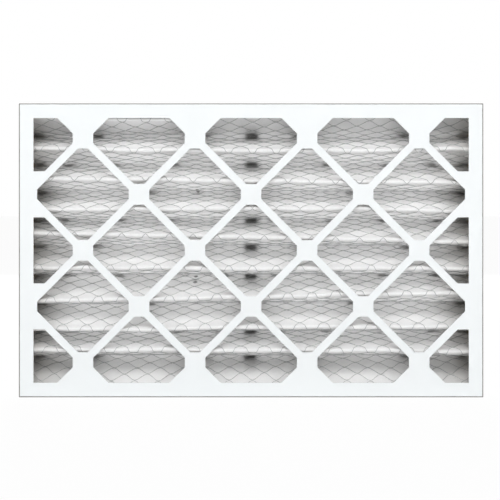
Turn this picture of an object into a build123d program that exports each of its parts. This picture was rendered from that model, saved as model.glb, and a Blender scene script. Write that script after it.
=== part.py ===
from build123d import *
from math import asin, atan2, ceil, cos, hypot, pi, sin, tan
import os

# Pleated panel air filter, nominal 16 x 25 x 4 in, in millimetres.
# Two die-cut paperboard trays nest into one frame. Between their lattice faces stands one
# pleated sheet of filter media, backed on the air-leaving side by expanded metal.
# +X runs along the long side, +Y from the air-leaving face to the air-entering face, +Z up.
# The origin is the middle of the bottom edge, on the surface that the filter stands on.

# The whole panel
panel_width = 622.3
panel_height = 393.7
panel_depth = 95.25

# The paperboard
board = 0.71
fold_radius = 1.2
glue_line = 0.1
edge_setback = 0.3
corner_slit = 0.25
fold_relief = 3.0
wall_end_gap = 0.6
tab_length = 28.0
tab_taper = 8.0
tab_end_gap = 6.0

# The lattice that is cut through both faces
border = 19.5
lattice_pitch = 150.2
strap_width = 10.2
node_width = 27.5
side_block_height = 61.6
narrowest_opening = 20.0

# The pleated media
pleat_count = 10
media_thickness = 1.6
front_tip_radius = 2.8
rear_tip_radius = 3.4

# The expanded metal: long and short way of its diamond, and its strand
diamond_length = 31.75
diamond_height = 31.0
strand_radius = 0.45
strand_sides = 3
strand_shortest_run = 1.5
mesh_side_gap = 1.0
mesh_end_gap = 14.0

# The strap across the rear folds, and the adhesive
centre_strap_width = 16.0
side_seal_thickness = 2.2
side_seal_height = 5.0
side_seal_sharp = 0.1
end_seal_depth = 4.0
end_seal_height = 7.0
end_seal_chamfer = 1.5

# Planes and spaces that several pieces share
middle_height = panel_height / 2
front_y = -panel_depth / 2
rear_y = panel_depth / 2
inner_width = panel_width - 2 * (board + glue_line)
inner_height = panel_height - 2 * (board + glue_line)
pack_half_width = inner_width / 2 - board
pack_half_height = inner_height / 2 - board
media_half_width = pack_half_width - side_seal_thickness

front_inside_y = front_y + board
rear_inside_y = rear_y - board
mesh_thickness = 4 * strand_radius
front_tip_y = front_inside_y + mesh_thickness
rear_tip_y = rear_inside_y - board
media_end_y = rear_tip_y - end_seal_depth

# The fold line of the media runs through the middle of its thickness
pleat_pitch = 2 * pack_half_height / pleat_count
half_pitch = pleat_pitch / 2
half_thickness = media_thickness / 2
front_fold_radius = front_tip_radius - half_thickness
rear_fold_radius = rear_tip_radius - half_thickness
fold_centre_span = rear_tip_y - front_tip_y - front_tip_radius - rear_tip_radius
flank_angle = atan2(half_pitch, fold_centre_span) - asin(
    (front_fold_radius + rear_fold_radius) / hypot(fold_centre_span, half_pitch)
)
front_apex_y = front_tip_y + front_tip_radius - front_fold_radius / sin(flank_angle)
rear_apex_y = rear_tip_y - rear_tip_radius + rear_fold_radius / sin(flank_angle)


def face_plane(y, outward):
    """The plane of a lattice face, drawn as seen from outside, with its middle as origin."""
    return Plane(origin=(0, y, middle_height), x_dir=(-outward, 0, 0), z_dir=(0, outward, 0))


# The lattice openings: a staggered field of diamonds with blunt corners inside the border
half_cell = lattice_pitch / 2
strap_half_run = strap_width / 2**0.5
diamond_reach = half_cell - strap_half_run
blunt_reach = half_cell - node_width / 2
side_cell_reach = half_cell - side_block_height / 2
window_width = panel_width - 2 * border
window_height = panel_height - 2 * border

columns = ceil(window_width / lattice_pitch) + 1
rows = ceil(window_height / lattice_pitch) + 1
cells = [
    (column * half_cell, row * half_cell)
    for column in range(-columns, columns + 1)
    for row in range(-rows, rows + 1)
    if (column + row) % 2 == 0
]
reachable = window_width / 2 - narrowest_opening + blunt_reach
inside_cells = [(x, z) for x, z in cells if abs(x) < window_width / 2 and abs(z) < window_height / 2]
side_cells = [
    (x, z)
    for x, z in cells
    if window_width / 2 <= abs(x) < reachable and abs(z) < window_height / 2
]

with BuildSketch() as inside_opening:
    Rectangle(diamond_reach * 2**0.5, diamond_reach * 2**0.5, rotation=45)
    Rectangle(2 * blunt_reach, 2 * blunt_reach, mode=Mode.INTERSECT)

with BuildSketch() as side_opening:
    add(inside_opening.sketch)
    Rectangle(2 * blunt_reach, 2 * side_cell_reach, mode=Mode.INTERSECT)

with BuildSketch() as lattice_openings:
    with Locations(*inside_cells):
        add(inside_opening.sketch)
    if side_cells:
        with Locations(*side_cells):
            add(side_opening.sketch)
    Rectangle(window_width, window_height, mode=Mode.INTERSECT)


def folded_tray(plane, width, height, depth):
    """One die-cut board: a lattice face, and four walls that fold back from its edges."""
    across = Axis(plane.origin, plane.z_dir)
    with BuildPart() as tray:
        with BuildSketch(plane):
            Rectangle(width, height)
        extrude(amount=-depth)
        fillet(tray.faces().sort_by(across)[-1].edges(), radius=fold_radius)
        offset(amount=-board, openings=tray.faces().sort_by(across)[0])
        with BuildSketch(plane):
            add(lattice_openings.sketch)
        extrude(amount=-2 * board, mode=Mode.SUBTRACT)
        with BuildSketch(plane.offset(-fold_relief)):
            with GridLocations(width - board, height - 2 * board - corner_slit, 2, 2):
                Rectangle(2 * board, corner_slit)
        extrude(amount=-depth, mode=Mode.SUBTRACT)
    return tray.part


# The air-leaving tray sits inside, with glue tabs folded in from its top and bottom walls
front_wall_depth = rear_inside_y - wall_end_gap - front_y
tab_inside_x = pack_half_width - glue_line - board
tab_front_y = front_inside_y + tab_end_gap
tab_rear_y = front_y + front_wall_depth - tab_end_gap
tab_root_z = middle_height + pack_half_height + board / 2
tab_tip_z = middle_height + pack_half_height - tab_length

with BuildPart() as glue_tabs:
    with BuildSketch(Plane.YZ.offset(tab_inside_x)):
        with BuildLine():
            Polyline(
                (tab_front_y, tab_root_z),
                (tab_rear_y, tab_root_z),
                (tab_rear_y - tab_taper, tab_tip_z),
                (tab_front_y + tab_taper, tab_tip_z),
                close=True,
            )
        make_face()
    extrude(amount=board)
    mirror(about=Plane.YZ)
    mirror(about=Plane.XY.offset(middle_height))

with BuildPart() as front_tray:
    add(folded_tray(face_plane(front_y, -1), inner_width, inner_height, front_wall_depth))
    add(glue_tabs.part)

# The air-entering tray wraps round it, and its cut edge lies round the other face
with BuildPart() as rear_tray:
    add(folded_tray(face_plane(rear_y, 1), panel_width, panel_height, panel_depth - edge_setback))


# The media: one sheet folded to and fro, rounded at every tip
def pleat_side(depth_shift, front_radius, rear_radius):
    """One surface of the media in the YZ plane, from its bottom end to its top end."""
    front_corner = front_apex_y + depth_shift
    rear_corner = rear_apex_y + depth_shift
    end_height = pack_half_height - (rear_corner - media_end_y) * tan(flank_angle)
    corners = [(media_end_y, middle_height - end_height)]
    radii = []
    for fold in range(1, 2 * pleat_count):
        at_front = fold % 2 == 1
        height = middle_height - pack_half_height + fold * half_pitch
        corners.append((front_corner if at_front else rear_corner, height))
        radii.append(front_radius if at_front else rear_radius)
    corners.append((media_end_y, middle_height + end_height))
    return FilletPolyline(*corners, radius=radii)


surface_shift = half_thickness / sin(flank_angle)
with BuildPart() as pleated_media:
    with BuildSketch(Plane.YZ):
        with BuildLine():
            mesh_side = pleat_side(
                -surface_shift, front_tip_radius, rear_tip_radius - media_thickness
            )
            plain_side = pleat_side(
                surface_shift, front_tip_radius - media_thickness, rear_tip_radius
            )
            Line(mesh_side @ 0, plain_side @ 0)
            Line(mesh_side @ 1, plain_side @ 1)
        make_face()
    extrude(amount=media_half_width, both=True)


# The expanded metal follows the folds: flat over each front tip, and sharp in each valley.
# Strands of one slant lie against the media, and those of the other slant lie over them.
tip_half_flat = front_tip_radius * tan((pi / 2 - flank_angle) / 2)
valley_y = rear_tip_y - media_thickness
mesh_angle = atan2(half_pitch - tip_half_flat, valley_y - front_tip_y)
mesh_end_y = media_end_y - mesh_end_gap
slant = diamond_length / diamond_height


def mesh_folds(clearance):
    """(y, z) at each fold of the mesh, at that distance off the media, from bottom to top."""
    tip_y = front_tip_y - clearance
    half_flat = tip_half_flat + clearance * tan((pi / 2 - mesh_angle) / 2)
    bottom_y = valley_y - clearance / sin(mesh_angle)
    end_height = pack_half_height - (bottom_y - mesh_end_y) * tan(mesh_angle)
    folds = [(mesh_end_y, middle_height - end_height)]
    for pleat in range(pleat_count):
        tip_z = middle_height - pack_half_height + (pleat + 0.5) * pleat_pitch
        folds.append((tip_y, tip_z - half_flat))
        folds.append((tip_y, tip_z + half_flat))
        folds.append((bottom_y, tip_z + half_pitch))
    folds[-1] = (mesh_end_y, middle_height + end_height)
    return folds


def lengths_along(folds):
    """How far along the unfolded mesh each fold lies."""
    lengths = [0.0]
    for (y0, z0), (y1, z1) in zip(folds, folds[1:]):
        lengths.append(lengths[-1] + hypot(y1 - y0, z1 - z0))
    return lengths


def point_along(length, lengths, folds):
    """The (y, z) of the folded mesh at a length along the unfolded one."""
    panel = max(i for i in range(len(folds) - 1) if lengths[i] <= length)
    share = (length - lengths[panel]) / (lengths[panel + 1] - lengths[panel])
    (y0, z0), (y1, z1) = folds[panel], folds[panel + 1]
    return y0 + share * (y1 - y0), z0 + share * (z1 - z0)


def strand_solids(direction, clearance):
    """Every strand of one slant, each one solid that runs on over the folds."""
    folds = mesh_folds(clearance)
    lengths = lengths_along(mesh_folds(2 * strand_radius))
    half_mesh = media_half_width - mesh_side_gap
    run = slant * lengths[-1]
    strands = []
    for step in range(-ceil(run / diamond_length / 2) - 10, ceil(run / diamond_length / 2) + 11):
        start_x = step * diamond_length - direction * run / 2
        reached = sorted(direction * (x - start_x) / slant for x in (-half_mesh, half_mesh))
        first, last = max(reached[0], 0), min(reached[1], lengths[-1])
        if last - first < diamond_height / 2:
            continue
        stops = [first] + [s for s in lengths if first < s < last] + [last]
        if stops[1] - stops[0] < strand_shortest_run:
            stops.pop(0)
        if stops[-1] - stops[-2] < strand_shortest_run:
            stops.pop()
        points = []
        for stop in stops:
            y, z = point_along(min(stop, lengths[-1] - 1e-6), lengths, folds)
            points.append((start_x + direction * slant * stop, y, z))
        with BuildPart() as strand:
            with BuildLine() as route:
                Polyline(*points)
            with BuildSketch(Plane(origin=route.line @ 0, z_dir=route.line % 0)):
                RegularPolygon(radius=strand_radius, side_count=strand_sides)
            sweep(transition=Transition.RIGHT)
        strands.append(strand.part)
    return strands


lower_strands = strand_solids(1, strand_radius)
upper_strands = strand_solids(-1, 3 * strand_radius)
wire_backing = Compound(
    [solid for part in lower_strands + upper_strands for solid in part.solids()]
)

# The strap is glued up the middle of the rear folds, inside the air-entering lattice
with BuildPart() as centre_strap:
    with BuildSketch(face_plane(rear_inside_y, 1)):
        Rectangle(centre_strap_width, 2 * pack_half_height)
    extrude(amount=-board)

# Adhesive seals the ends of the pleats to the side walls
seal_apex_shift = side_seal_height / 2 / sin(flank_angle)


def seal_side(depth_shift):
    """One edge of a side seal, parallel to the media's flanks, blunt where it meets the tips."""
    front_corner = front_apex_y + depth_shift
    rear_corner = rear_apex_y + depth_shift
    front_cut = max(front_tip_y, front_corner)
    rear_cut = min(rear_tip_y, rear_corner)
    front_half = (front_cut - front_corner) * tan(flank_angle)
    rear_half = (rear_corner - rear_cut) * tan(flank_angle)
    end_height = pack_half_height - (rear_corner - media_end_y) * tan(flank_angle)
    corners = [(media_end_y, middle_height - end_height)]
    for fold in range(1, 2 * pleat_count):
        height = middle_height - pack_half_height + fold * half_pitch
        cut, half = (front_cut, front_half) if fold % 2 == 1 else (rear_cut, rear_half)
        if half > side_seal_sharp:
            corners += [(cut, height - half), (cut, height + half)]
        else:
            corners.append((cut, height))
    corners.append((media_end_y, middle_height + end_height))
    return corners


with BuildPart() as side_seal:
    with BuildSketch(Plane.YZ.offset(media_half_width)):
        with BuildLine():
            Polyline(*seal_side(-seal_apex_shift), *reversed(seal_side(seal_apex_shift)), close=True)
        make_face()
    extrude(amount=side_seal_thickness)
    with BuildSketch(Plane.YZ.offset(tab_inside_x)):
        with Locations((0, middle_height)):
            Rectangle(panel_depth, panel_height)
            Rectangle(panel_depth, 2 * (pack_half_height - tab_length), mode=Mode.SUBTRACT)
    extrude(amount=side_seal_thickness, mode=Mode.SUBTRACT)

with BuildPart() as left_seal:
    add(mirror(side_seal.part, about=Plane.YZ, mode=Mode.PRIVATE))

with BuildPart() as right_seal:
    add(side_seal.part)


# A bead closes the corner between each cut end of the media, the wall and the strap
def end_seal(wall_z, upward):
    """A bead along one wall, with its free corner sloped."""
    free_z = wall_z - upward * end_seal_height
    with BuildPart() as bead:
        with BuildSketch(Plane.YZ):
            with BuildLine():
                Polyline(
                    (media_end_y, wall_z),
                    (rear_tip_y, wall_z),
                    (rear_tip_y, free_z + upward * end_seal_chamfer),
                    (rear_tip_y - end_seal_chamfer, free_z),
                    (media_end_y, free_z),
                    close=True,
                )
            make_face()
        extrude(amount=media_half_width, both=True)
    return bead.part


bottom_seal = end_seal(middle_height - pack_half_height, -1)
top_seal = end_seal(middle_height + pack_half_height, 1)

# One file for each piece
pieces = {
    "front_tray": front_tray.part,
    "rear_tray": rear_tray.part,
    "pleated_media": pleated_media.part,
    "wire_backing": wire_backing,
    "centre_strap": centre_strap.part,
    "left_seal": left_seal.part,
    "right_seal": right_seal.part,
    "bottom_seal": bottom_seal,
    "top_seal": top_seal,
}
os.makedirs("parts", exist_ok=True)
for name, piece in pieces.items():
    piece.label = name
    export_step(piece, f"parts/{name}.step")
    print(name, len(piece.solids()), "solids", round(piece.volume), "mm3")
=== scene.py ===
# %% [markdown]
# # A pleated panel air filter
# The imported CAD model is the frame: two paperboard trays with lattice faces, a centre strap,
# the pleated media, the expanded metal on it and the beads of adhesive.
# The trays, the strap and the beads at the top and bottom keep their CAD shapes and get a finish.
# The media, the metal and the beads at the sides are made again here, because the real ones are
# soft and a little uneven.

# %% Load the frame
import bpy
import bmesh
from math import asin, atan2, cos, degrees, hypot, pi, sin
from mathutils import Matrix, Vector


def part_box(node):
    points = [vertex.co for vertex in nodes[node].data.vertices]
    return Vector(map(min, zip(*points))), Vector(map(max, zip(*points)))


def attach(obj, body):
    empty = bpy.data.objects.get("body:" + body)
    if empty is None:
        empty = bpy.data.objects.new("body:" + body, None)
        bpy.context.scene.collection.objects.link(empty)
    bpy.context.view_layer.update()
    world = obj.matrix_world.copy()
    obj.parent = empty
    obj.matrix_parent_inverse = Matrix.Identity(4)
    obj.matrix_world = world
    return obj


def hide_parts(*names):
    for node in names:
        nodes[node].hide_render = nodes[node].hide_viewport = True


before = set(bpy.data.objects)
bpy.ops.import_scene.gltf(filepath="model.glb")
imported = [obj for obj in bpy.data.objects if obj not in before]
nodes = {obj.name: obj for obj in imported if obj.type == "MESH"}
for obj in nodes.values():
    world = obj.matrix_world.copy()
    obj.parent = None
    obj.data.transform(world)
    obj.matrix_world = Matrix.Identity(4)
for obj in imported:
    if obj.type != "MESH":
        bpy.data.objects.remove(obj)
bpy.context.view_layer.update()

# %% [markdown]
# ## Sizes of the trays
# Everything is in metres. The pieces that are made again have to meet the CAD pieces, so places
# are measured on the frame, and only what can't be measured there is written down again.

# %% Sizes of the trays
MM = 0.001
tray_low, tray_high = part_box("rear_tray")
width, height = tray_high.x - tray_low.x, tray_high.z - tray_low.z
middle = (tray_high.z + tray_low.z) / 2
front_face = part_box("front_tray")[0].y
rear_face = tray_high.y
strap_low, strap_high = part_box("centre_strap")
board = 0.71 * MM
print("trays", round(width / MM, 1), "by", round(height / MM, 1), "mm")

# %% [markdown]
# ## The camera
# The photograph was taken square on, from about a metre and a half, with the lens a little above
# the middle of the filter. The lens is level, so that upright lines stay upright, and a small
# shift frames the filter in the middle, as a photographer does with a view camera. Tilting the
# camera down would frame it too, but the upright edges would then lean together.

# %% Camera
distance = 1.455
view_width = 0.670
eye_height = 0.260
bpy.ops.object.camera_add(location=(0, front_face - distance, eye_height), rotation=(pi / 2, 0, 0))
camera = bpy.context.object
camera.name = "studio_camera"
camera.data.sensor_width = 36
camera.data.lens = 36 * distance / view_width
camera.data.shift_x = -0.0022
camera.data.shift_y = -0.0935
bpy.context.scene.camera = camera
print("lens", round(camera.data.lens, 1), "mm")

# %% [markdown]
# ## A way to write shader maths
# A finish that depends on where a point lies takes a dozen Math nodes. They could be added and
# linked one by one, but a formula is easier to read. So a Wire wraps one socket, and + - * / on it
# add Math nodes. Its method `add` makes any other node from its inputs and its settings.

# %% The Wire class
class Wire:
    def __init__(self, tree, socket):
        self.tree = tree
        self.socket = socket

    def add(self, kind, inputs, out=0, **settings):
        node = self.tree.nodes.new(kind)
        for name, value in settings.items():
            setattr(node, name, value)
        for name, value in inputs.items():
            if isinstance(value, Wire):
                self.tree.links.new(value.socket, node.inputs[name])
            else:
                node.inputs[name].default_value = value
        return Wire(self.tree, node.outputs[out])

    def maths(self, operation, *values):
        return self.add("ShaderNodeMath", dict(enumerate(values)), operation=operation)

    def __add__(self, other): return self.maths("ADD", self, other)
    def __sub__(self, other): return self.maths("SUBTRACT", self, other)
    def __rsub__(self, other): return self.maths("SUBTRACT", other, self)
    def __mul__(self, other): return self.maths("MULTIPLY", self, other)
    def __truediv__(self, other): return self.maths("DIVIDE", self, other)
    def __abs__(self): return self.maths("ABSOLUTE", self)
    def above(self, edge): return self.maths("GREATER_THAN", self, edge)
    def below(self, edge): return self.maths("LESS_THAN", self, edge)
    def least(self, other): return self.maths("MINIMUM", self, other)
    def most(self, other): return self.maths("MAXIMUM", self, other)
    def bounce(self, top): return self.maths("PINGPONG", self, top)

    def ease(self, start, end):
        """0 before start, 1 after end, and a smooth step between."""
        return self.add(
            "ShaderNodeMapRange",
            {"Value": self, "From Min": start, "From Max": end},
            interpolation_type="SMOOTHSTEP",
        )

    def blend(self, colour_a, colour_b):
        """This wire, from 0 to 1, mixes from one colour to the other."""
        return self.add(
            "ShaderNodeMix", {0: self, 6: colour_a, 7: colour_b}, out=2, data_type="RGBA"
        )

    def xyz(self):
        parts = self.tree.nodes.new("ShaderNodeSeparateXYZ")
        self.tree.links.new(self.socket, parts.inputs[0])
        return [Wire(self.tree, parts.outputs[i]) for i in range(3)]

    def noise(self, scale, detail=2.0, roughness=0.5, stretch=None):
        place = self
        if stretch:
            place = self.add(
                "ShaderNodeVectorMath", {0: self, 1: stretch}, operation="MULTIPLY"
            )
        return self.add(
            "ShaderNodeTexNoise",
            {"Vector": place, "Scale": scale, "Detail": detail, "Roughness": roughness},
        )


# %% [markdown]
# ## Colours and materials
# A paint program gives a colour as numbers from 0 to 255, while nodes take it as amounts of light.
# `srgb` turns the first into the second. The other helpers start a material and plug a Wire into
# its shader.

# %% Helpers for materials
def srgb(red, green, blue):
    """A colour as a paint program shows it, from 0 to 255, as the linear one that nodes take."""
    return (*(pow((c / 255 + 0.055) / 1.055, 2.4) for c in (red, green, blue)), 1)


def coordinate(material, output):
    """A wire from one output of a Texture Coordinate node, such as Object or Normal."""
    tree = material.node_tree
    return Wire(tree, tree.nodes.new("ShaderNodeTexCoord").outputs[output])


def new_material(name):
    """A material, its shader, and a wire for the place on the object."""
    material = bpy.data.materials.new(name)
    material.use_nodes = True
    shader = material.node_tree.nodes["Principled BSDF"]
    return material, shader, coordinate(material, "Object")


def plug(shader, name, wire):
    wire.tree.links.new(wire.socket, shader.inputs[name])


def bumps(shader, wire, distance, strength=1.0):
    bump = wire.add("ShaderNodeBump", {"Height": wire, "Distance": distance, "Strength": strength})
    plug(shader, "Normal", bump)


print("the grey 128 is", round(srgb(128, 128, 128)[0], 3), "of full light")

# %% [markdown]
# ## Paperboard
# The trays are cut from board that is clay-coated white on one side and bare grey-brown on the
# other. The white side faces out. The raw edge shows as a thin grey line round the front face
# and along each strap.
# Each side of the board could be a mesh of its own, but the CAD shape has to stay. So one material
# works out which side a point is on, from where it lies and which way it faces.

# %% Board finish
WHITE, CLOUDED = srgb(245, 248, 249), srgb(242, 246, 247)
BARE, BARE_DARK = srgb(150, 141, 126), srgb(128, 119, 104)
CUT, CUT_DARK = srgb(128, 124, 118), srgb(112, 108, 102)
SKIN = 1.2 * board
INNER_MARGIN = 3 * MM
WALL_END = 40 * MM


def board_material(name, face_y, outside):
    """Board whose lattice face lies at face_y and looks along outside, -1 or 1, in Y."""
    material, shader, place = new_material(name)
    x, y, z = place.xyz()
    nx, ny, nz = coordinate(material, "Normal").xyz()
    up = z - middle
    from_face = abs(y - face_y)
    faces_back = (ny * outside).below(-0.5)
    on_wall = from_face.above(SKIN) * abs(ny).below(0.5)
    inner_side = (nx * x + nz * up).below(0.0)
    bare = faces_back.most(on_wall * inner_side)
    inside = abs(x).below(width / 2 - INNER_MARGIN) * abs(up).below(height / 2 - INNER_MARGIN)
    cut = from_face.below(SKIN) * abs(ny).below(0.6) * inside
    wall_end = faces_back * from_face.above(WALL_END)
    fibres = place.noise(900, 3, 0.6, (1, 1, 0.35))
    white = place.noise(14, 3, 0.5).blend(CLOUDED, WHITE)
    kraft = fibres.blend(BARE_DARK, BARE)
    edge = fibres.blend(CUT_DARK, CUT)
    plug(shader, "Base Color", cut.most(wall_end).blend(bare.blend(white, kraft), edge))
    shader.inputs["Roughness"].default_value = 0.62
    shader.inputs["Specular IOR Level"].default_value = 0.35
    bumps(shader, fibres * 0.5 + place.noise(160, 2) * 0.5, 0.06 * MM, 0.5)
    return material


# %% Dress the trays and the strap
def dress(node, material):
    """A CAD piece keeps its shape and gets this material."""
    nodes[node].data.materials.clear()
    nodes[node].data.materials.append(material)


dress("front_tray", board_material("front_board", front_face, -1))
dress("rear_tray", board_material("rear_board", rear_face, 1))
dress("centre_strap", board_material("strap_board", strap_high.y, 1))
print("board:", [m.name for m in bpy.data.materials if m.name.endswith("_board")])

# %% [markdown]
# ## Sizes of the folds
# The media is one long sheet that goes to and fro between the two lattices, from the bottom to the
# top. The front folds lie under the front lattice, and the rear folds are glued to the strap. The
# radii and the thickness are those of the CAD model, so that both have the same folded line.

# %% Sizes of the folds
media_low, media_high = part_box("pleated_media")
media_half = media_high.x
pleats = 10
folds = 2 * pleats - 1
pitch = (strap_high.z - strap_low.z) / pleats
sheet = 1.6 * MM
front_radius = 2.0 * MM
rear_radius = 2.6 * MM
front_centre = media_low.y + front_radius + sheet / 2
rear_centre = strap_low.y - rear_radius - sheet / 2
end_gap = 4.0 * MM
pack_end = media_high.y - end_gap
print("pleat pitch", round(pitch / MM, 2), "mm, media half width", round(media_half / MM, 1), "mm")

# %% [markdown]
# ## How the media folds
# A cloth simulation could fold a sheet, but no two runs would match the photograph's folds. So the
# folded line is worked out in the side view instead: straight flanks, joined by round folds.
# `fold_line` gives the point at a length along the sheet, and the direction that faces the mesh.

# %% Parts of the folded line
span = rear_centre - front_centre
lean = atan2(pitch / 2, span) - asin((front_radius + rear_radius) / hypot(span, pitch / 2))
flank = (span - (front_radius + rear_radius) * sin(lean)) / cos(lean)
front_arc = front_radius * (pi - 2 * lean)
rear_arc = rear_radius * (pi - 2 * lean)
last_flank = flank - (rear_centre + rear_radius * sin(lean) - pack_end) / cos(lean)


def stations():
    """(start, end, kind, fold) for each flank and each fold, by length along the sheet."""
    parts, at = [], 0.0
    for fold in range(1, folds + 1):
        length = last_flank if fold == 1 else flank
        parts.append((at, at + length, "flank", fold))
        at += length
        arc = front_arc if fold % 2 else rear_arc
        parts.append((at, at + arc, "fold", fold))
        at += arc
    parts.append((at, at + last_flank, "flank", folds + 1))
    return parts


PARTS = stations()
sheet_length = PARTS[-1][1]
print("sheet length", round(sheet_length, 4), "m, flanks lean", round(degrees(lean), 2), "degrees")

# %% [markdown]
# A place on the sheet is also counted in folds, for what changes from fold to fold: the middle of
# fold 3 is at 3, the whole fold takes 0.16 of the count, and the flank to fold 4 takes the rest.

# %% A point of the folded line
FOLD_SHARE = 0.16


def fold_centre(fold):
    y = front_centre if fold % 2 else rear_centre
    return y, strap_low.z + fold * pitch / 2


def fold_line(s):
    """y, z, the direction (y, z) towards the mesh side, and the place counted in folds."""
    s = min(max(s, 0.0), sheet_length)
    start, end, kind, fold = next(p for p in PARTS if s <= p[1] or p is PARTS[-1])
    along = (s - start) / (end - start)
    forward = 1 if fold % 2 else -1
    if kind == "fold":
        radius = front_radius if fold % 2 else rear_radius
        turn = (2 * along - 1) * (pi / 2 - lean)
        cy, cz = fold_centre(fold)
        side = (-forward * cos(turn), sin(turn))
        toward = side if fold % 2 else (-side[0], -side[1])
        place = fold + (along - 0.5) * FOLD_SHARE
        return cy + radius * side[0], cz + radius * side[1], toward, place
    # A flank leads from the fold below to this fold. It is measured back from its upper end.
    toward = (-sin(lean), -cos(lean)) if fold % 2 else (-sin(lean), cos(lean))
    if fold <= folds:
        cy, cz = fold_centre(fold)
        radius = front_radius if fold % 2 else rear_radius
        side = (-forward * sin(lean), -cos(lean))
        y, z = cy + radius * side[0], cz + radius * side[1]
        back = end - s
        y += back * forward * cos(lean)
        z -= back * sin(lean)
    else:
        cy, cz = fold_centre(folds)
        side = (-sin(lean), cos(lean))
        y, z = cy + front_radius * side[0], cz + front_radius * side[1]
        y += (s - start) * cos(lean)
        z += (s - start) * sin(lean)
    return y, z, toward, fold - 1 + FOLD_SHARE / 2 + along * (1 - FOLD_SHARE)


print("the sheet starts at y, z", [round(value, 4) for value in fold_line(0.0)[:2]])

# %% [markdown]
# ## How the real folds wander
# Machine-made folds are still never all alike. Each one rises and falls a few millimetres on its
# way across the panel, and the first and last folds are pushed in behind the border. Random noise
# would give folds like these, but not these ones. So each fold has its height above the even
# place, in millimetres, judged against the photograph at five places from left to right.

# %% Heights of the folds
FOLD_RISE = {
    1: (-9.0, -9.5, -9.0, -9.5, -9.0), 2: (2.6, 2.8, 2.4, 2.6, 2.8),
    3: (2.5, 2.8, 2.1, 2.2, 0.3), 4: (-1.4, -1.8, -1.4, -1.0, -1.4),
    5: (-7.5, -9.0, -5.6, -5.6, -5.3), 6: (-0.6, -1.0, -0.6, -0.2, -0.6),
    7: (-9.1, -7.3, -4.2, -0.4, 1.3), 8: (0.3, 0.1, 0.3, 0.6, 0.3),
    9: (-4.4, -3.9, -5.4, -4.8, -4.9), 10: (1.4, 1.8, 1.4, 1.0, 1.4),
    11: (3.5, 1.1, -1.8, -4.6, -9.1), 12: (-0.6, -0.4, -0.6, -0.9, -0.6),
    13: (-4.0, -3.2, -2.5, -3.0, -6.6), 14: (-0.2, 0.2, -0.2, -0.6, -0.2),
    15: (-1.7, -2.6, -4.7, -6.3, -6.2), 16: (-0.2, 0.3, -0.2, 0.4, -0.2),
    17: (0.7, -2.1, -2.8, -2.7, -0.2), 18: (1.2, 2.4, 1.0, 2.6, 1.8),
    19: (4.0, -0.3, 8.0, 12.0, 12.0),
}


def rise_at(fold, x):
    """A smooth line through a fold's five heights, with two small waves on it."""
    heights = FOLD_RISE[fold]
    across = min(max((x / media_half + 1) * 2, 0.0), 3.999)
    left = int(across)
    share = across - left
    share = share * share * (3 - 2 * share)
    wave = 0.35 * sin(x * 41 + fold * 2.1) + 0.25 * sin(x * 67 + fold * 5.3)
    if fold % 2 == 0:
        wave *= 0.5
    return heights[left] * (1 - share) + heights[left + 1] * share + wave


print("fold 7 lies", [round(rise_at(7, x), 1) for x in (-0.3, 0.0, 0.3)], "mm above its even place")

# %% [markdown]
# Between two folds the flanks belly out a little behind the front one, some more than others. The
# soft sheet also has slanted creases, which are deepest where its ends are glued to the walls.

# %% Bellies of the flanks
FULLNESS = 1.6
FLANK_BULGE = {1: -1.0, 2: 3.0, 5: 1.0, 8: -1.2, 11: 0.9, 14: -0.8, 17: 1.1, 19: -2.5}


def wander(x, place):
    """How far a point of the sheet lies above its even place."""
    low_fold = int(place)
    step = place - low_fold
    ease = min(max((step - FOLD_SHARE / 2) / (1 - FOLD_SHARE), 0.0), 1.0)
    low = rise_at(low_fold, x) if 1 <= low_fold else 0.0
    high = rise_at(low_fold + 1, x) if low_fold + 1 <= folds else 0.0
    belly = FULLNESS if low_fold % 2 else -FULLNESS
    bulge = FLANK_BULGE.get(low_fold + 1, 0.0) * (1 + 0.3 * sin(x * 16 + low_fold)) + belly
    return (low * (1 - ease) + high * ease + bulge * sin(pi * ease)) * MM


# %% Creases, and a point of the real sheet
CREASE = 0.2
CREASE_AT_END = 0.75
CREASED_FROM = 0.45


def wrinkle(x, s):
    """Slanted creases of the soft sheet, stronger towards the glued ends of the pleats."""
    past = (abs(x) - CREASED_FROM * media_half) / ((1 - CREASED_FROM) * media_half)
    near_end = max(0.0, past) ** 1.5
    rising = sin(x * 150 + s * 95 + 2.2 * sin(x * 31))
    falling = sin(x * 83 - s * 60 + 1.7 * sin(s * 19))
    return (CREASE + CREASE_AT_END * near_end) * (rising + 0.7 * falling) * MM


def on_sheet(x, s, off=0.0):
    """A point of the folded sheet, off being how far it stands out on the mesh side."""
    y, z, toward, place = fold_line(s)
    at_fold = abs(2 * (place % 1) - 1)
    ripple = wrinkle(x, s) * (1 - at_fold ** 4)
    return Vector((x, y + off * toward[0], z + off * toward[1] + wander(x, place) + ripple))


print("a point of the sheet", [round(value, 4) for value in on_sheet(0.1, 0.5)])

# %% [markdown]
# ## The media
# The real sheet is soft nonwoven, cut flat and then folded. It is made the same way here: a flat
# grid primitive, with a row of vertices at each step of every fold, whose vertices are then moved
# to where the folded line puts them. Solidify gives the sheet its thickness.

# %% Rows of the flat sheet
FOLD_STEPS = 8
FLANK_STEPS = 7
COLUMNS = 88
rows = []
for start, end, kind, fold in PARTS:
    steps = FOLD_STEPS if kind == "fold" else FLANK_STEPS
    rows += [start + (end - start) * i / steps for i in range(steps)]
rows.append(sheet_length)
print(len(rows), "rows,", COLUMNS, "columns")


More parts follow.
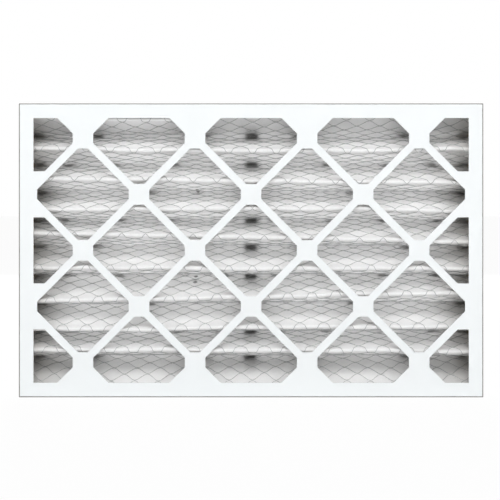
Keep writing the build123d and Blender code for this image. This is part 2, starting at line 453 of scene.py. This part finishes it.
# %% Tools for folded sheets
def flat_sheet(name, x_start, x_end, x_steps):
    """A grid primitive with one row of vertices for each of the rows, laid into the folds."""
    bpy.ops.object.select_all(action="DESELECT")
    bpy.ops.mesh.primitive_grid_add(
        x_subdivisions=x_steps, y_subdivisions=len(rows) - 1, size=1, location=(0, 0, 0)
    )
    piece = bpy.context.object
    piece.name = name
    for vertex in piece.data.vertices:
        x = x_start + (x_end - x_start) * (vertex.co.x + 0.5)
        row = round((vertex.co.y + 0.5) * (len(rows) - 1))
        vertex.co = on_sheet(x, rows[row])
    return piece


def thicken(piece, thickness):
    modifier = piece.modifiers.new("Thickness", "SOLIDIFY")
    modifier.thickness = thickness
    modifier.offset = 0.0
    bpy.context.view_layer.objects.active = piece
    bpy.ops.object.modifier_apply(modifier="Thickness")


def outward_normals(piece):
    bpy.context.view_layer.objects.active = piece
    bpy.ops.object.mode_set(mode="EDIT")
    bpy.ops.mesh.select_all(action="SELECT")
    bpy.ops.mesh.normals_make_consistent(inside=False)
    bpy.ops.object.mode_set(mode="OBJECT")


# %% The media itself
media = flat_sheet("filter_media", -media_half, media_half, COLUMNS)
thicken(media, 0.95 * sheet)
outward_normals(media)
bpy.ops.object.shade_smooth_by_angle(angle=0.9)
print("media", len(media.data.polygons), "faces")

# %% [markdown]
# ## What the media looks like
# Nonwoven fabric is a mat of fine white fibres: matte, and slightly cloudy where the fibres bunch.
# Hair would show each fibre, but they are far smaller than a pixel here. Noise at three scales
# gives the mat its tone, and the finer two of them also give it bumps.

# %% Fibres
media_finish, shader, place = new_material("nonwoven_fibres")
x, y, z = place.xyz()
fibres = place.noise(1500, 4, 0.65)
bunches = place.noise(260, 3, 0.6)
clouds = place.noise(38, 2)
tone = fibres * 0.35 + bunches * 0.4 + clouds * 0.25
fresh = tone.ease(0.3, 0.7).blend(srgb(243, 243, 243), srgb(254, 254, 254))
shader.inputs["Roughness"].default_value = 0.9
shader.inputs["Specular IOR Level"].default_value = 0.2
bumps(shader, fibres * 0.4 + bunches * 0.6, 0.25 * MM, 0.7)
print("fibres:", len(media_finish.node_tree.nodes), "nodes so far")

# %% [markdown]
# Behind the rear folds lie the glued strap and the rear lattice, which keep the light out, so they
# show in front as soft dark marks. Light alone draws them too faintly, since the real sheet is
# pressed onto them with glue. So their shadows are painted into the base colour as well, at the
# places of the real pieces.

# %% Painted shadows of the strap and the lattice
LATTICE_PITCH = 150.2 * MM
STRAP_LEAN = 0.0105
STRAP_SHADE = 0.7
LATTICE_SHADE = 0.4
# Painted shade: the shadows of the strap and the rear lattice darken the media's base colour.
blur = bunches * 4 * MM - 2 * MM
strap_half = (strap_high.x - strap_low.x) / 2
off_strap = abs(x - (z - middle) * STRAP_LEAN) + blur
strap_shadow = off_strap.ease(strap_half + 3 * MM, strap_half - 3 * MM)
shadow_near_contact = y.ease(rear_centre - 22 * MM, rear_centre - 5 * MM)
shadowed = y.ease(rear_centre - 64 * MM, rear_centre - 10 * MM)
strap_shadow = strap_shadow * (shadow_near_contact * 0.62 + shadowed * 0.38)

half_pitch = LATTICE_PITCH / 2
off_rising = half_pitch - (x + z - middle).bounce(half_pitch)
off_falling = half_pitch - (x - z + middle).bounce(half_pitch)
touching = y.ease(rear_centre - 6 * MM, rear_centre - 1 * MM)
lattice_shadow = (off_rising.least(off_falling) + blur).ease(7 * MM, 2 * MM) * touching
shade_and_dust = (strap_shadow * STRAP_SHADE).most(lattice_shadow * LATTICE_SHADE)
print("strap mark", round(2 * strap_half / MM, 1), "mm wide")

# %% [markdown]
# Towards the ends of the pleats, in front of the bare brown side walls, the colour is painted
# darker and browner: painted shade, tinted by brown light from the walls. Dust stuck in two of the
# valleys.

# %% Painted shade at the ends, and dust
END_SHADE_LENGTH = 66 * MM
DUST = ((-75.5, 81.0, 3.4, 3.4), (-78.3, -41.0, 4.0, 1.5), (-78.3, -47.0, 4.0, 1.7))
# Painted shade, tinted brown like light from the bare side walls, darkens the ends of the pleats.
near_end = abs(x).ease(media_half - END_SHADE_LENGTH, media_half)
shaded_ends = (near_end * 0.34).blend(fresh, srgb(158, 151, 138))
in_valley = y.above(rear_centre - 34 * MM)
dust = 0.0
for dust_x, dust_z, half_width, half_height in DUST:
    across = (x - dust_x * MM) / (half_width * MM)
    upward = (z - middle - dust_z * MM) / (half_height * MM)
    spot = (across * across + upward * upward + bunches * 1.6 - 0.8).ease(1.0, 0.2)
    dust = spot * in_valley + dust
shade_and_dust = shade_and_dust.most(dust.least(1.0) * 0.85)
# The base colour carries the painted shade of the strap, the lattice and the ends, and real dust.
plug(shader, "Base Color", shade_and_dust.blend(shaded_ends, srgb(108, 107, 105)))
print(len(DUST), "specks of dust")

# %% [markdown]
# The fabric is thin enough that some light passes. Subsurface scattering is meant for thick
# things, so a share of Translucent shader lets light from behind glow through the sheet instead.
# The share is small at the front folds, which light from behind reaches only along the sheet, and
# where something is pressed against the back.


# %% Glow
def mix_shaders(share, first, second):
    """The surface shows the first shader, and the second as far as share goes from 0 to 1."""
    tree = share.tree
    mix = tree.nodes.new("ShaderNodeMixShader")
    tree.links.new(share.socket, mix.inputs[0])
    tree.links.new(first.outputs[0], mix.inputs[1])
    tree.links.new(second.outputs[0], mix.inputs[2])
    tree.links.new(mix.outputs[0], tree.nodes["Material Output"].inputs["Surface"])


glow = media_finish.node_tree.nodes.new("ShaderNodeBsdfTranslucent")
glow.inputs["Color"].default_value = srgb(253, 253, 253)
thin = y.ease(media_low.y + 2 * MM, media_low.y + 22 * MM) * 0.47 + 0.1
pressed = y.ease(rear_centre - 3 * MM, rear_centre + 1 * MM) * 0.35
mix_shaders((thin - pressed) * (1 - shade_and_dust) * (1 - near_end * 0.2), shader, glow)
media.data.materials.append(media_finish)
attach(media, "root")
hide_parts("pleated_media")
print("media finish:", len(media_finish.node_tree.nodes), "nodes")

# %% [markdown]
# ## Expanded metal
# A steel sheet is slit in rows and pulled, so that each slit opens to a diamond, and it is
# laminated to the media before both are folded. Seen flat, each strand zigzags from side to
# side and is joined at its corners to the strands above and below.
# A Wireframe modifier on a folded grid would be quicker, but its corners would be sharp. So each
# zigzag is drawn flat with rounded corners, cut at the creases, folded, and given its thickness as
# a bevelled curve. One row of corners lies on fold 13, where the photograph shows a row of lenses.

# %% Zigzag strands, flat
DIAMOND_WIDTH = 31.9 * MM
DIAMOND_HEIGHT = 33.1 * MM
BOND = 6.8 * MM
BOND_SLOPE = 0.12
BOND_FOLD = 13
NET_SHIFT = 1.9 * MM
STRAND = 1.0 * MM
CORNER = ((-BOND / 2, BOND_SLOPE), (0.0, 0.0), (BOND / 2, BOND_SLOPE))
EDGE_GAP = 1 * MM
half_width = DIAMOND_WIDTH / 2
half_height = DIAMOND_HEIGHT / 2
half_count = int((media_half - EDGE_GAP) / half_width)
bond_line = next((p[0] + p[1]) / 2 for p in PARTS if p[2:] == ("fold", BOND_FOLD))
first_row = (bond_line - half_height) % DIAMOND_HEIGHT
lowest_row = -1 if first_row > 1.1 * half_height else 0
row_count = int((sheet_length - first_row - EDGE_GAP) / half_height)
net = bmesh.new()
for row in range(lowest_row, row_count):
    bottom = first_row + row * half_height
    previous = None
    for corner in range(-half_count, half_count + 1):
        up = (corner + row) % 2 == 0
        for end, slope in CORNER:
            from_bond = 0.4 * STRAND + slope * half_height
            length = bottom + (half_height - from_bond if up else from_bond)
            vertex = net.verts.new((corner * half_width + NET_SHIFT + end, length, 0))
            if previous:
                net.edges.new((previous, vertex))
            previous = vertex
print(row_count - lowest_row, "zigzags of", 2 * half_count + 1, "corners")

# %% [markdown]
# The net can bend only at its vertices. So it gets one wherever a strand crosses a crease, which is
# five times round each fold and five times down each flank, before it is laid on the sheet.

# %% Cut at the creases, and folded
BENDS = 5
creases = []
for start, end, kind, fold in PARTS:
    steps = range(BENDS + 1) if kind == "fold" else range(1, BENDS)
    creases += [start + (end - start) * i / BENDS for i in steps]
for crease in creases:
    bmesh.ops.bisect_plane(
        net, geom=net.verts[:] + net.edges[:], plane_co=(0, crease, 0), plane_no=(0, 1, 0)
    )
for vertex in net.verts:
    vertex.co = on_sheet(vertex.co.x, vertex.co.y, sheet / 2 + 0.45 * STRAND)
net_mesh = bpy.data.meshes.new("expanded_metal")
net.to_mesh(net_mesh)
net.free()
metal = bpy.data.objects.new("expanded_metal", net_mesh)
bpy.context.scene.collection.objects.link(metal)
print(len(creases), "creases,", len(net_mesh.edges), "strand pieces")

# %% Strands get their thickness
bpy.ops.object.select_all(action="DESELECT")
metal.select_set(True)
bpy.context.view_layer.objects.active = metal
bpy.ops.object.convert(target="CURVE")
metal.data.bevel_depth = STRAND / 2
metal.data.bevel_resolution = 0
metal.data.use_fill_caps = True
bpy.ops.object.convert(target="MESH")
outward_normals(metal)
print("expanded metal", len(metal.data.polygons), "faces")

# %% [markdown]
# ## Metal finish
# The steel is galvanised, and dull from handling and from the glue. A full metal would mirror the
# white room and vanish against the media, so it is only a little metallic, with a mild spangle.

# %% Metal finish
metal_finish, shader, place = new_material("dull_galvanised_steel")
spangle = place.noise(420, 2, 0.5)
steel = spangle.ease(0.3, 0.7).blend(srgb(186, 187, 187), srgb(210, 211, 211))
plug(shader, "Base Color", steel)
plug(shader, "Roughness", spangle * 0.3 + 0.42)
shader.inputs["Metallic"].default_value = 0.2
metal.data.materials.append(metal_finish)
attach(metal, "root")
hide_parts("wire_backing")
print("metal finish:", len(metal_finish.node_tree.nodes), "nodes")

# %% [markdown]
# ## Adhesive
# A bead of hot glue fills the gap between the ends of the pleats and the side walls. The straight
# beads of the CAD model would stand clear of folds that wander, so these are laid with the same
# folded line as the media. The beads at the top and bottom keep their CAD shapes.

# %% Glue
glue_finish, shader, place = new_material("cured_glue")
cloud = place.noise(90, 3, 0.5)
plug(shader, "Base Color", cloud.blend(srgb(196, 188, 168), srgb(216, 209, 192)))
shader.inputs["Roughness"].default_value = 0.45
bumps(shader, place.noise(240, 2), 0.3 * MM, 0.5)
dress("bottom_seal", glue_finish)
dress("top_seal", glue_finish)
print("glue on the beads at the top and bottom")

# %% Beads at the pleat ends
BEAD_WIDTH = 1.3 * MM
BEAD_THICKNESS = 4.6 * MM
for side, name in ((-1, "left"), (1, "right")):
    seal_low, seal_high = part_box(name + "_seal")
    ends = sorted((side * media_half, side * (media_half + BEAD_WIDTH)))
    bead = flat_sheet(name + "_bead", ends[0], ends[1], 2)
    thicken(bead, BEAD_THICKNESS)
    for vertex in bead.data.vertices:
        vertex.co.y = min(max(vertex.co.y, seal_low.y), seal_high.y)
    outward_normals(bead)
    bpy.ops.object.shade_smooth_by_angle(angle=0.9)
    bead.data.materials.append(glue_finish)
    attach(bead, "root")
    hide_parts(name + "_seal")
    print(bead.name, len(bead.data.polygons), "faces")

# %% [markdown]
# ## The studio
# The filter stands on a white floor in front of a white background. Strong light would make them
# white too, but it would burn out the filter. So both are white only to the camera, through Light
# Path, and the floor keeps a faint shadow.


# %% Floor
def seen(tree):
    """1 for what is seen, also in and through other things, and 0 for the light on them."""
    path = tree.nodes.new("ShaderNodeLightPath")
    kinds = ("Is Camera Ray", "Is Glossy Ray", "Is Transmission Ray")
    camera_ray, glossy, through = (Wire(tree, path.outputs[kind]) for kind in kinds)
    return camera_ray.most(glossy).most(through)


WHITE_SHARE = 0.96
bpy.ops.object.select_all(action="DESELECT")
bpy.ops.mesh.primitive_plane_add(size=40, location=(0, 0, 0))
floor = bpy.context.object
floor.name = "studio_floor"
floor_finish, shader, place = new_material("white_floor")
shader.inputs["Base Color"].default_value = srgb(244, 244, 244)
shader.inputs["Roughness"].default_value = 0.9
tree = floor_finish.node_tree
mix_shaders(seen(tree) * WHITE_SHARE, shader, tree.nodes.new("ShaderNodeEmission"))
floor.data.materials.append(floor_finish)
print("floor", round(floor.dimensions.x), "m wide")

# %% World
ROOM_LIGHT = 0.12
world = bpy.data.worlds.new("white_room")
world.use_nodes = True
tree = world.node_tree
background = tree.nodes["Background"]
strength = seen(tree) * (1 - ROOM_LIGHT) + ROOM_LIGHT
background.inputs["Color"].default_value = (1, 1, 1, 1)
tree.links.new(strength.socket, background.inputs["Strength"])
bpy.context.scene.world = world
print("the room gives", ROOM_LIGHT, "of full light")

# %% [markdown]
# ## Lamps
# A large soft lamp in front and above does most of the work, with a weak one at each side.
# Behind the filter, a weak lamp lights the back, and a strong one lights only the media, the
# metal and their surroundings, so that the translucent folds glow as they did in front of the
# photograph's white wall. One lamp for both would burn out the white board at the back.

# %% Soft lamps
target = Vector((0, 0, middle))
behind = (0.0, 2.4, 0.5)


def soft_lamp(name, place, size, power):
    """A square lamp that looks at the middle of the filter."""
    bpy.ops.object.light_add(type="AREA", location=place)
    lamp = bpy.context.object
    lamp.name = name
    lamp.data.shape = "SQUARE"
    lamp.data.size = size
    lamp.data.energy = power
    lamp.rotation_euler = (target - Vector(place)).to_track_quat("-Z", "Y").to_euler()
    return lamp


soft_lamp("high_softbox", (0.0, -2.8, 2.7), 1.8, 76)
soft_lamp("left_softbox", (-2.2, -1.8, 1.0), 1.4, 16)
soft_lamp("right_softbox", (2.2, -1.8, 1.0), 1.4, 16)
soft_lamp("rear_fill", behind, 1.6, 27)
print("soft lamps", [light.name for light in bpy.data.lights])

# %% The lamp that makes the media glow
glow_panel = soft_lamp("glow_panel", behind, 1.6, 100)
glowing = bpy.data.collections.new("lit_by_glow_panel")
for name in ("filter_media", "expanded_metal", "left_bead", "right_bead", "studio_floor"):
    glowing.objects.link(bpy.data.objects[name])
glow_panel.light_linking.receiver_collection = glowing

# %% [markdown]
# ## Colour
# The Standard view shows a colour as it is written.

# %% Colour and finish
scene = bpy.context.scene
scene.view_settings.view_transform = "Standard"
